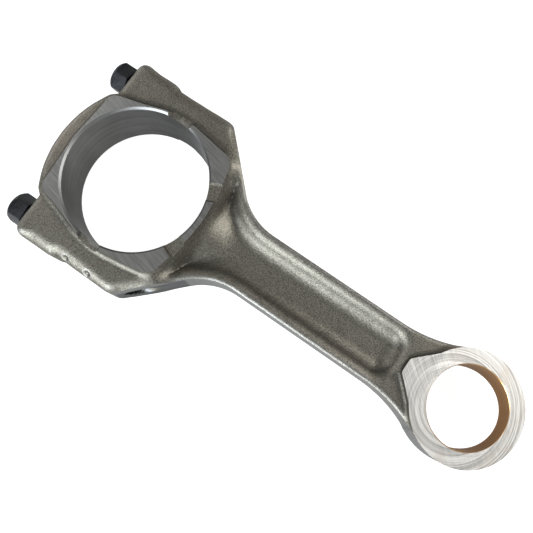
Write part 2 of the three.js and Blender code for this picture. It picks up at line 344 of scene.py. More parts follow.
class Graph:
    """A short way to write a node material."""

    def __init__(self, name: str) -> None:
        """Start an empty material with a principled shader.

        Args:
            name: Name of the material.
        """
        self.material = bpy.data.materials.new(name)
        self.material.use_nodes = True
        self.tree = self.material.node_tree
        self.shader = self.tree.nodes["Principled BSDF"]
        self.position = self.add("ShaderNodeTexCoord").outputs["Object"]

    def add(self, kind: str, **values: Any) -> bpy.types.Node:
        """Add a node.

        Args:
            kind: Blender's node type.
            **values: Properties of the node.

        Returns:
            The node.
        """
        node = self.tree.nodes.new(kind)
        for key, value in values.items():
            setattr(node, key, value)
        return node

    def feed(self, socket: Any, value: Any) -> None:
        """Link an output to a socket, or set the socket's value.

        Args:
            socket: Input of a node.
            value: An output to link, or a plain value.
        """
        if isinstance(value, bpy.types.NodeSocket):
            self.tree.links.new(value, socket)
        else:
            socket.default_value = value

    def stretch(self, scale: tuple, turn: float = 0.0) -> Any:
        """Object coordinates in metres, turned about z in degrees, then scaled.

        Args:
            scale: Scale along each axis.
            turn: Degrees about z.

        Returns:
            The coordinates.
        """
        spin = self.add("ShaderNodeMapping", vector_type="POINT")
        self.feed(spin.inputs["Vector"], self.position)
        spin.inputs["Rotation"].default_value = (0, 0, math.radians(turn))
        size = self.add("ShaderNodeMapping", vector_type="POINT")
        self.feed(size.inputs["Vector"], spin.outputs[0])
        size.inputs["Scale"].default_value = scale
        return size.outputs[0]

    def noise(self, scale: float, detail: float = 4, rough: float = 0.55, vector: Any = None) -> Any:
        """Fractal noise, about 0 to 1.

        Args:
            scale: Grains to a metre.
            detail: Number of finer layers.
            rough: Share of each finer layer.
            vector: Coordinates, or None for the object's own.

        Returns:
            The noise.
        """
        node = self.add("ShaderNodeTexNoise")
        self.feed(node.inputs["Vector"], self.position if vector is None else vector)
        node.inputs["Scale"].default_value = scale
        node.inputs["Detail"].default_value = detail
        node.inputs["Roughness"].default_value = rough
        return node.outputs[0]

    def ramp(self, value: Any, *stops: tuple) -> Any:
        """Colours along a value.

        Args:
            value: The value.
            *stops: (place, (r, g, b)) pairs.

        Returns:
            The colour.
        """
        node = self.add("ShaderNodeValToRGB")
        self.feed(node.inputs[0], value)
        points = node.color_ramp.elements
        for index, (place, colour) in enumerate(stops):
            point = points[index] if index < len(points) else points.new(place)
            point.position = place
            point.color = (*colour, 1)
        return node.outputs[0]

    def math(self, kind: str, a: Any, b: Any = 0.0) -> Any:
        """One arithmetic node.

        Args:
            kind: Name of the operation.
            a: First value.
            b: Second value.

        Returns:
            The result.
        """
        node = self.add("ShaderNodeMath", operation=kind)
        self.feed(node.inputs[0], a)
        self.feed(node.inputs[1], b)
        return node.outputs[0]

    def span(self, value: Any, low: float, high: float, start: float = 0.0, end: float = 1.0) -> Any:
        """Move a value from the range start..end to low..high.

        Args:
            value: The value.
            low: Result at start.
            high: Result at end.
            start: Start of the range.
            end: End of the range.

        Returns:
            The moved value.
        """
        node = self.add("ShaderNodeMapRange")
        for socket, number in zip(node.inputs[:5], (value, start, end, low, high)):
            self.feed(socket, number)
        return node.outputs[0]

    def mix(self, share: Any, a: Any, b: Any) -> Any:
        """Mix two colours.

        Args:
            share: 0 for a, 1 for b.
            a: First colour.
            b: Second colour.

        Returns:
            The mixed colour.
        """
        node = self.add("ShaderNodeMix", data_type="RGBA")
        for index, value in ((0, share), (6, a), (7, b)):
            if isinstance(value, tuple):
                value = (*value, 1)
            self.feed(node.inputs[index], value)
        return node.outputs[2]

    def bend(self) -> Any:
        """How convex the forging was before machining, from -1 to 1."""
        return self.add("ShaderNodeAttribute", attribute_name="bend").outputs["Fac"]

    def edge(self) -> Any:
        """How convex the surface is: about 0.5 on flats, more on edges."""
        return self.add("ShaderNodeNewGeometry").outputs["Pointiness"]

    def finish(
        self, colour: Any, metallic: float, rough: Any, bumps: list, rim: float = 0.6
    ) -> bpy.types.Material:
        """Wire the shader.

        Args:
            colour: Base colour.
            metallic: Metallic value.
            rough: Roughness.
            bumps: (height, strength, distance in metres) of each layer of relief.
            rim: How bright the surface gets at a glancing angle.

        Returns:
            The material.
        """
        self.feed(self.shader.inputs["Base Color"], colour)
        self.shader.inputs["Metallic"].default_value = metallic
        self.shader.inputs["Specular Tint"].default_value = (*[rim] * 3, 1)
        self.feed(self.shader.inputs["Roughness"], rough)
        normal = None
        for height, strength, distance in bumps:
            node = self.add("ShaderNodeBump")
            node.inputs["Strength"].default_value = strength
            node.inputs["Distance"].default_value = distance
            self.feed(node.inputs["Height"], height)
            if normal is not None:
                self.feed(node.inputs["Normal"], normal)
            normal = node.outputs[0]
        if normal is not None:
            self.feed(self.shader.inputs["Normal"], normal)
        return self.material


@dataclass(frozen=True)
class ForgedSkin:
    """Shot-blasted forging scale: fine grain, warm patches, edges painted lighter as wear and as painted
    highlight, and fillets darkened as painted shade.
    """

    dark: tuple = (0.075, 0.071, 0.057)
    light: tuple = (0.222, 0.210, 0.178)
    warm: tuple = (0.290, 0.232, 0.192)
    # edge colour: partly wear, partly a painted highlight on convex edges
    wear_and_highlight: tuple = (0.30, 0.30, 0.296)
    # painted shade: dark colour laid into the concave fillets and creases of the forging
    deep: tuple = (0.062, 0.058, 0.050)

    def build(self, name: str) -> bpy.types.Material:
        """The material of this finish.

        Args:
            name: Name of the material.

        Returns:
            The material.
        """
        g = Graph(name)
        grain = g.noise(1550, 3, 0.65)
        pits = g.noise(620, 3, 0.55)
        blotch = g.noise(70, 4, 0.6)
        patch = g.noise(20, 3, 0.5)
        base = g.ramp(grain, (0.34, self.dark), (0.66, self.light))
        base = g.mix(g.span(blotch, 0.0, 0.30, 0.48, 0.78), base, self.light)
        base = g.mix(g.span(patch, 0.0, 0.22, 0.52, 0.72), base, self.warm)
        # painted shade: concave fillets and creases darkened toward the dark fillet colour
        base = g.mix(g.span(g.bend(), 0.55, 0.0, -0.30, -0.06), base, self.deep)
        # convex edges lightened, partly as wear and partly as painted highlight
        convex = g.span(g.bend(), 0.0, 0.50, 0.14, 0.60)
        wear_and_highlight_share = g.math("MULTIPLY", convex, g.span(pits, 0.35, 1.0, 0.38, 0.60))
        base = g.mix(wear_and_highlight_share, base, self.wear_and_highlight)
        rough = g.math("SUBTRACT", g.span(grain, 0.36, 0.52), g.math("MULTIPLY", wear_and_highlight_share, 0.08))
        return g.finish(base, 0.85, rough, [(pits, 0.34, 0.0003), (grain, 0.70, 0.0002)], 0.30)


@dataclass(frozen=True)
class CutSteel:
    """A machined steel face with straight cutter lines."""

    dark: tuple
    light: tuple
    rough: tuple = (0.3, 0.45)
    turn: float = 0.0
    fine: float = 700.0
    relief: float = 0.25
    metallic: float = 0.95
    rim: float = 0.6

    def build(self, name: str) -> bpy.types.Material:
        """The material of this finish.

        Args:
            name: Name of the material.

        Returns:
            The material.
        """
        g = Graph(name)
        lines = g.noise(1, 3, 0.6, g.stretch((self.fine * 0.04, self.fine, self.fine * 0.04), self.turn))
        cloud = g.noise(30, 3, 0.5)
        share = g.math("ADD", g.math("MULTIPLY", lines, 0.7), g.math("MULTIPLY", cloud, 0.3))
        colour = g.ramp(share, (0.34, self.dark), (0.66, self.light))
        relief = [(lines, self.relief, 0.0002)]
        return g.finish(colour, self.metallic, g.span(lines, *self.rough), relief, self.rim)


@dataclass(frozen=True)
class BoredMetal:
    """A bored surface with fine lines that run round the bore."""

    dark: tuple
    light: tuple
    rough: tuple = (0.28, 0.42)
    metallic: float = 0.95

    def build(self, name: str) -> bpy.types.Material:
        """The material of this finish.

        Args:
            name: Name of the material.

        Returns:
            The material.
        """
        g = Graph(name)
        lines = g.noise(1, 3, 0.6, g.stretch((12, 12, 2600)))
        cloud = g.noise(45, 3, 0.5)
        share = g.math("ADD", g.math("MULTIPLY", lines, 0.6), g.math("MULTIPLY", cloud, 0.4))
        colour = g.ramp(share, (0.32, self.dark), (0.68, self.light))
        return g.finish(colour, self.metallic, g.span(lines, *self.rough), [(lines, 0.18, 0.0001)], 0.3)


@dataclass(frozen=True)
class EyeFace:
    """The ground face of the small end: pale, with curved cutter arcs and straight scratches."""

    dark: tuple = (0.33, 0.32, 0.30)
    light: tuple = (0.72, 0.70, 0.665)
    warm: tuple = (0.50, 0.44, 0.37)

    def build(self, name: str, centre: float) -> bpy.types.Material:
        """The material of this finish.

        Args:
            name: Name of the material.
            centre: X of the eye's axis in metres.

        Returns:
            The material.
        """
        g = Graph(name)
        moved = g.add("ShaderNodeVectorMath", operation="SUBTRACT")
        g.feed(moved.inputs[0], g.position)
        moved.inputs[1].default_value = (centre - 0.006, -0.004, 0)
        parts = g.add("ShaderNodeSeparateXYZ")
        g.feed(parts.inputs[0], moved.outputs[0])
        x, y = parts.outputs[0], parts.outputs[1]
        radius = g.math("SQRT", g.math("ADD", g.math("MULTIPLY", x, x), g.math("MULTIPLY", y, y)))
        line = g.add("ShaderNodeCombineXYZ")
        g.feed(line.inputs[0], g.math("MULTIPLY", radius, 900.0))
        g.feed(line.inputs[1], g.math("MULTIPLY", y, 14.0))
        arcs = g.noise(1, 5, 0.75, line.outputs[0])
        scratches = g.noise(1, 4, 0.7, g.stretch((30, 1500, 30), 40))
        share = g.mix(g.span(x, 0.8, 0.15, -0.03, -0.01), arcs, scratches)
        colour = g.ramp(share, (0.40, self.dark), (0.57, self.light))
        colour = g.mix(g.span(g.noise(120, 3), 0.0, 0.55, 0.52, 0.75), colour, self.warm)
        return g.finish(colour, 0.9, g.span(share, 0.44, 0.60), [(share, 0.40, 0.0002)])


@dataclass(frozen=True)
class BlackOxide:
    """Black bolt finish with blue-grey sheen, and edges painted a lighter blue-grey as wear and as painted
    highlight.
    """

    dark: tuple = (0.006, 0.006, 0.007)
    light: tuple = (0.018, 0.019, 0.021)
    # edge colour: partly wear, partly a painted highlight on the hex edges
    wear_and_highlight: tuple = (0.07, 0.072, 0.076)

    def build(self, name: str) -> bpy.types.Material:
        """The material of this finish.

        Args:
            name: Name of the material.

        Returns:
            The material.
        """
        g = Graph(name)
        grain = g.noise(800, 4, 0.6)
        colour = g.ramp(grain, (0.35, self.dark), (0.7, self.light))
        # edges lightened by pointiness, partly as wear and partly as painted highlight
        colour = g.mix(g.span(g.edge(), 0.0, 0.7, 0.54, 0.66), colour, self.wear_and_highlight)
        return g.finish(colour, 0.55, g.span(grain, 0.32, 0.5), [(grain, 0.3, 0.0002)])


# ---------------------------------------------------------------- the forging


@dataclass
class Forging:
    """The rod and cap as one forging, before any machining. Sizes in millimetres from the big-end axis."""

    datum: Datum
    cell: float = 0.75
    body_half: float = 14.6
    stock: float = 0.8
    pad_half: float = 17.2
    rail_half: float = 11.2
    web_half: float = 4.7
    shoulder: float = 74.3
    flare: tuple = (71.5, 49.4, 33.0)
    neck: tuple = (146.0, 85.4, 69.0)
    eye: tuple = (192.0, 28.0)
    neck_end: float = 118.3
    drift: float = -0.3
    crown_round: float = 3.2
    boss_round: float = 4.0
    boss_side: float = 52.3
    boss_taper: float = 9.0
    boss_blend: float = 4.0
    slab_start: float = 17.0
    stock_fade: tuple = (20.0, 27.0)
    boss_fade: tuple = (33.0, 18.0)
    rail_fade: float = 24.0
    rail_round: tuple = (5.6, 3.0)
    wall_lean: tuple = (0.77, 0.638)
    pocket_fillet: float = 3.4
    pocket_rim: float = 2.4
    dome_span: tuple = (65.0, 41.0)
    dome_base: float = 0.4
    dome_rise: float = 10.8
    dome_ends: tuple = (20.0, 70.0)
    dome_slope: float = 0.8
    dome_inset: float = 2.0
    dome_narrow: tuple = (61.0, 19.0)
    dome_width: tuple = (8.0, 16.0)
    dome_least: float = -0.6
    pad_draft: float = 0.3
    land_half: float = 14.7
    land_draft: float = 0.1
    fillet: float = 3.0
    neck_fillet: float = 5.0
    neck_fade: tuple = (24.0, 36.0)
    land_fillet: float = 2.0
    land_fade: tuple = (174.0, 184.0)
    crown_fade: tuple = (-36.0, -24.0)
    boss_thin: tuple = (-8.0, 24.0)
    marks: tuple = ((-5.6, 1.9), (7.9, 1.9), (1.2, 0.8))
    mark_place: tuple = (-51.7, 13.0)
    mark_fillet: float = 0.8
    skin_drop: float = 0.06
    skin_wave: float = 0.05
    low: tuple = (-52.0, -58.0, -20.5)
    high: tuple = (224.0, 58.0, 20.5)
    outlines: dict = field(default_factory=dict)

    def __post_init__(self) -> None:
        """Work out the plan outlines."""
        fx, fy, fr = self.flare
        nx, ny, nr = self.neck
        ex, er = self.eye
        keep = mirrored(
            [(-100, 0), (-100, 100), (self.shoulder - 100, 100)]
            + arc(fx, fy, fr, -135, -90)
            + arc(nx, ny, nr, -90, self.neck_end - 180, 16)
            + arc(ex, 0, er, self.neck_end, 0, 64)[1:]
        )
        self.outlines = {
            "body": mirrored(
                arc(11.5, 0, 58.9, 180, 149.4, 10)
                + [(-36, 32.6)]
                + arc(-31, 49.2, 5, 180, 90, 6)
                + [(-16, 54.2), (-13.5, 53.8), (-11, 52.5)]
                + arc(19.2, 45.0, 7.5, 90, 45, 6)
                + arc(33.6, 33.6, 4.5, 45, -30, 6)
                + arc(0, 0, 40, 40, 0, 12)
            ),
            "pad": mirrored(
                [(-38.4, 0), (-36.9, 20)]
                + arc(-31.3, 25.0, 5.4, 180, 108, 6)
                + [(-20, 33.6), (-9, 37.3), (0, 38.7), (9, 38.5), (20, 36.9)]
                + arc(27.6, 27.2, 8.4, 75, 0, 8)
                + [(37.8, 20), (39.6, 8), (40, 0)]
            ),
            "keep": keep,
            "pocket": mirrored(
                [(38, 0), (38, 20), (40.6, 28.6)]
                + arc(fx, fy, fr + 3.4, -135, -90)
                + arc(146, 4, 9, 90, 0, 10)
                + [(155, 0)]
            ),
            "land": mirrored(
                [(157.4, 0), (157.4, 3.0), (157.9, 4.2), (167.7, 13.9)] + arc(ex, 0, er, 150.2, 0, 48)
            ),
        }

    def plan(self, x: Array, y: Array) -> dict:
        """Signed distance to each outline at some positions.

        Args:
            x: Positions along the rod.
            y: Positions across the rod.

        Returns:
            A distance for each outline.
        """
        return {
            name: polygon_distance(outline, x, y if name == "pad" else y - self.drift)
            for name, outline in self.outlines.items()
        }

    def dents(self, x: Array, y: Array, height: Array) -> Array:
        """Distance to the press marks on one bolt boss, negative inside.

        Args:
            x: Positions along the rod.
            y: Positions across the rod.
            height: Heights from the middle plane.

        Returns:
            The distance.
        """
        deep = np.full(np.broadcast(x, y, height).shape, FAR)
        side, level = self.mark_place
        for mark, radius in self.marks:
            away = np.sqrt((x - mark) ** 2 + (y - side) ** 2 + (height - level) ** 2)
            deep = np.minimum(deep, away - radius)
        return deep

    def shank(self, x: Array, wide: Array, up: Array, plan: dict) -> Array:
        """The I-beam with its pockets, from the bosses to the small end.

        Args:
            x: Positions along the rod.
            wide: Distances from the rod's centre line.
            up: Distances from the middle plane.
            plan: Distances to the outlines.

        Returns:
            The field.
        """
        grown = plan["keep"] - self.stock * smooth_step(x, *self.stock_fade)
        rim = self.boss_side - self.boss_taper * smooth_step(x, *self.boss_fade)
        side = -smooth_min(-grown, rim - wide, self.boss_blend)
        side = np.maximum(side, self.slab_start - x)
        first, less = self.rail_round
        edge = first - less * smooth_step(x, self.slab_start, self.rail_fade)
        beam = rounded_slab(side, up, self.rail_half, edge)
        across, along = self.wall_lean
        wall = across * plan["pocket"] + along * (self.rail_half - up)
        pocket = -smooth_min(up - self.web_half, -wall, self.pocket_fillet)
        return -smooth_min(-beam, pocket, self.pocket_rim)

    def dome(self, x: Array, wide: Array, up: Array, plan: dict) -> Array:
        """The domed web between the big end and the pocket.

        Args:
            x: Positions along the rod.
            wide: Distances from the rod's centre line.
            up: Distances from the middle plane.
            plan: Distances to the outlines.

        Returns:
            The field.
        """
        narrow, reach = self.dome_narrow
        least, more = self.dome_width
        width = least + more * np.clip((narrow - x) / reach, 0, 1)
        crest = smooth_step(x, *self.dome_span) * np.maximum(1 - (wide / width) ** 2, self.dome_least)
        crown = (up - self.dome_base - self.dome_rise * crest) * self.dome_slope
        web = np.maximum(crown, plan["keep"] + self.dome_inset)
        start, end = self.dome_ends
        return np.maximum(web, np.maximum(start - x, x - end))

    def solid(self, x: Array, y: Array, z: Array, plan: dict) -> Array:
        """The forging as a field that is negative inside.

        Args:
            x: Positions along the rod.
            y: Positions across the rod.
            z: Heights from the middle plane.
            plan: Distances to the outlines at x and y.

        Returns:
            The field.
        """
        up = np.abs(z)
        wide = np.abs(y - self.drift)
        ease = smooth_step(x, *self.crown_fade) - 0.5 * smooth_step(x, *self.boss_thin)
        body = rounded_slab(plan["body"], up, self.body_half, self.crown_round + self.boss_round * ease)
        shank = smooth_min(self.shank(x, wide, up, plan), self.dome(x, wide, up, plan), self.fillet)
        above = up - self.pad_half
        pad = np.maximum(plan["pad"] + self.pad_draft * above, above - 1)
        stock = plan["land"] - self.stock * smooth_step(x, *self.land_fade)
        above = up - self.land_half
        land = np.maximum(stock + self.land_draft * above, above - 1)
        whole = smooth_min(body, shank, self.fillet + self.neck_fillet * smooth_step(x, *self.neck_fade))
        whole = smooth_min(whole, pad, self.fillet)
        whole = smooth_min(whole, land, self.land_fillet)
        whole = -smooth_min(-whole, self.dents(x, y, z), self.mark_fillet)
        wave = np.sin(x * 0.41 + 1.3 * np.sin(y * 0.23)) * np.sin(y * 0.37 + 0.9 * np.sin(x * 0.19))
        return whole + self.skin_drop + self.skin_wave * wave

    def build(self) -> bpy.types.Object:
        """Make the forging as one closed mesh.

        Returns:
            The mesh object.
        """
        x, y, z = (np.arange(a, b, self.cell) for a, b in zip(self.low, self.high))
        flat_x, flat_y = np.meshgrid(x, y, indexing="ij")
        plan = {name: d[:, :, None] for name, d in self.plan(flat_x, flat_y).items()}
        values = self.solid(x[:, None, None], y[None, :, None], z[None, None, :], plan)
        points, quads = surface_nets(values)
        points = points * self.cell + self.low
        for _ in range(2):
            points = self.settle(points)
        points += [self.datum.big_x, 0, self.datum.mid_z]
        return mesh_object("forging", points, quads.tolist())

    def settle(self, points: Array) -> Array:
        """Move points onto the surface of the field.

        Args:
            points: Positions near the surface.

        Returns:
            The moved positions.
        """
        step, flattest, longest = 0.02, 0.1, 0.3
        here = self.at(points)
        slope = np.zeros_like(points)
        for axis in range(3):
            shifted = points.copy()
            shifted[:, axis] += step
            slope[:, axis] = (self.at(shifted) - here) / step
        size = np.maximum(np.sum(slope**2, axis=1), flattest)
        move = -(here / size)[:, None] * slope
        length = np.linalg.norm(move, axis=1, keepdims=True)
        return points + move * np.minimum(1, longest / np.maximum(length, 1e-9))

    def curvature(self, points: Array) -> Array:
        """How convex the forging is at some points: above 0 on edges, below 0 in fillets.

        Args:
            points: Positions in millimetres.

        Returns:
            A value from -1 to 1 for each point.
        """
        step = 0.5
        total = -6 * self.at(points)
        for axis in range(3):
            for side in (-step, step):
                shifted = points.copy()
                shifted[:, axis] += side
                total += self.at(shifted)
        return np.clip(total / step**2, -1, 1)

    def at(self, points: Array) -> Array:
        """The field at loose points."""
        x, y, z = points.T
        return self.solid(x, y, z, self.plan(x, y))


def surface_nets(values: Array) -> tuple[Array, Array]:
    """Mesh the zero surface of a grid of values with one point to a cell.

    Args:
        values: The field, negative inside.

    Returns:
        Points in cells of the grid, and quads that face outwards.
    """
    inside = values < 0
    shape = np.array(values.shape) - 1
    total = np.zeros((*shape, 3))
    count = np.zeros(shape)
    corners = [(i, j, k) for i in (0, 1) for j in (0, 1) for k in (0, 1)]

    def corner(grid: Array, c: tuple) -> Array:
        """The grid seen from one corner of every cell."""
        return grid[tuple(slice(o, o + n) for o, n in zip(c, shape))]

    for a in corners:
        for axis in range(3):
            if a[axis] == 1:
                continue
            b = tuple(1 if i == axis else v for i, v in enumerate(a))
            va, vb = corner(values, a), corner(values, b)
            crossed = (va < 0) != (vb < 0)
            with np.errstate(divide="ignore", invalid="ignore"):
                t = np.where(crossed, va / (va - vb), 0)
            for i in range(3):
                total[..., i] += np.where(crossed, a[i] + (t if i == axis else 0), 0)
            count += crossed
    used = count > 0
    number = np.full(shape, -1, np.int64)
    number[used] = np.arange(used.sum())
    where = np.argwhere(used)
    points = where + total[used] / count[used][:, None]
    quads = []
    for axis in range(3):
        u, v = (axis + 1) % 3, (axis + 2) % 3
        first = [slice(1, -1)] * 3
        first[axis] = slice(0, -1)
        second = list(first)
        second[axis] = slice(1, None)
        a, b = inside[tuple(first)], inside[tuple(second)]
        for flip, hit in ((False, a & ~b), (True, ~a & b)):
            base = np.argwhere(hit)
            base[:, u] += 1
            base[:, v] += 1
            ring = []
            for du, dv in ((-1, -1), (0, -1), (0, 0), (-1, 0)):
                place = base.copy()
                place[:, u] += du
                place[:, v] += dv
                ring.append(number[tuple(place.T)])
            quad = np.stack(ring, 1)
            quads.append(quad[:, ::-1] if flip else quad)
    return points, np.concatenate(quads)


# ---------------------------------------------------------------- threads and bolts


@dataclass(frozen=True)
class Thread:
    """An M11 x 1.25 right-hand thread, cut along the bolt axis."""

    pitch: float = 1.25
    crest: float = 5.5
    depth: float = 0.72
    sides: int = 48
    per_turn: int = 10

    def depth_at(self, phase: Array) -> Array:
        """How deep the groove is at a phase from 0 to 1."""
        away = np.abs(phase - 0.5) * 2
        return self.depth * np.clip((0.86 - away) / 0.68, 0, 1)

    def solid(
        self, start: float, end: float, grow: float, lead_in: float, place: Callable
    ) -> bpy.types.Object:
        """A threaded stud.

        Args:
            start: Lowest place along the axis.
            end: Highest place along the axis.
            grow: Added to every radius, for the matching hole.
            lead_in: Length of the cone at the far end.
            place: Moves points to the frame.

        Returns:
            The stud.
        """
        rows = int((end - start) / self.pitch * self.per_turn) + 1
        height = np.linspace(start, end, rows)
        angle = np.linspace(0, 2 * math.pi, self.sides, endpoint=False)
        phase = np.mod(height[:, None] / self.pitch - angle[None, :] / (2 * math.pi), 1)
        radius = self.crest + grow - self.depth_at(phase)
        if lead_in > 0:
            cone = self.crest + grow - 1.1 * np.clip(height - (end - lead_in), 0, None) / lead_in
            radius = np.minimum(radius, cone[:, None])
        x, y = radius * np.cos(angle), radius * np.sin(angle)
        points = np.stack([x, y, np.broadcast_to(height[:, None], x.shape)], -1).reshape(-1, 3)
        points = np.vstack([points, [(0, 0, start), (0, 0, end)]])
        foot, tip, n = len(points) - 2, len(points) - 1, self.sides
        faces = []
        for i in range(n):
            j = (i + 1) % n
            faces += [[foot, j, i], [tip, (rows - 1) * n + i, (rows - 1) * n + j]]
            faces += [[r * n + i, r * n + j, (r + 1) * n + j, (r + 1) * n + i] for r in range(rows - 1)]
        return mesh_object("thread", place(points), faces)


@dataclass
class CapBolt:
    """A hex bolt with an integral flange."""

    datum: Datum
    name: str
    body: str
    node: str
    side: int
    hex_turn: float
    seat: float = -36.05
    flats: float = 15.0
    flange: float = 8.6
    shank: float = 4.75
    neck: float = 3.3
    thread_start: float = -4.0
    thread_end: float = 22.0

    def build(self, finish: bpy.types.Material) -> bpy.types.Object:
        """Make the bolt and hang it on its body.

        Args:
            finish: Its material.

        Returns:
            The bolt.
        """
        place = along_x(self.datum, self.side * self.datum.bolt_y)
        head = self.datum.head_end
        corner = self.flats / math.sqrt(3)
        angles = np.radians(np.arange(6) * 60 + self.hex_turn)
        ring = [(corner * math.cos(a), corner * math.sin(a)) for a in angles]
        points = np.array([(x, y, h) for h in (head - 1, self.seat - self.neck) for x, y in ring])
        faces = [[5, 4, 3, 2, 1, 0], [6, 7, 8, 9, 10, 11]]
        faces += [[i, (i + 1) % 6, 6 + (i + 1) % 6, 6 + i] for i in range(6)]
        bolt = mesh_object(self.name, place(points), faces)
        self.round_edges(bolt)
        crown = [(0, head), (3.2, head), (5.9, head + 0.12)]
        crown += [(6.8, head + 0.45), (7.5, head + 1.1), (8.8, head + 2.7)]
        carve(bolt, [lathe(crown + [(8.8, self.seat), (0, self.seat)], BOLT_SIDES, place)], "INTERSECT")
        rim = self.seat
        skirt = [(0, rim - 3.6), (7.0, rim - 3.6), (7.05, rim - 2.8), (7.5, rim - 2.0), (8.2, rim - 1.4)]
        skirt += [(self.flange, rim - 1.1), (self.flange, rim - 0.25), (8.35, rim), (0, rim)]
        stem = [(0, rim - 1), (5.3, rim - 1), (5.3, rim + 2.2), (self.shank, rim + 3.4)]
        stem += [(self.shank, self.thread_start + 0.6), (0, self.thread_start + 0.6)]
        thread = Thread().solid(self.thread_start, self.thread_end, 0.0, 1.2, place)
        carve(bolt, [lathe(skirt, BOLT_SIDES, place), lathe(stem, THREAD_SIDES, place), thread], "UNION")
        shade(bolt, 28)
        bolt.data.materials.clear()
        bolt.data.materials.append(finish)
        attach(bolt, self.body)
        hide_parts(self.node)
        return bolt

    def round_edges(self, bolt: bpy.types.Object) -> None:
        """Round the long edges of the hex.

        Args:
            bolt: The plain hex.
        """
        work = bmesh.new()
        work.from_mesh(bolt.data)
        long_edges = [e for e in work.edges if abs(e.verts[0].co.x - e.verts[1].co.x) > 0.002]
        bmesh.ops.bevel(work, geom=long_edges, offset=0.5 * MM, segments=3, profile=0.5, affect="EDGES")
        work.to_mesh(bolt.data)
        work.free()


# ---------------------------------------------------------------- machining


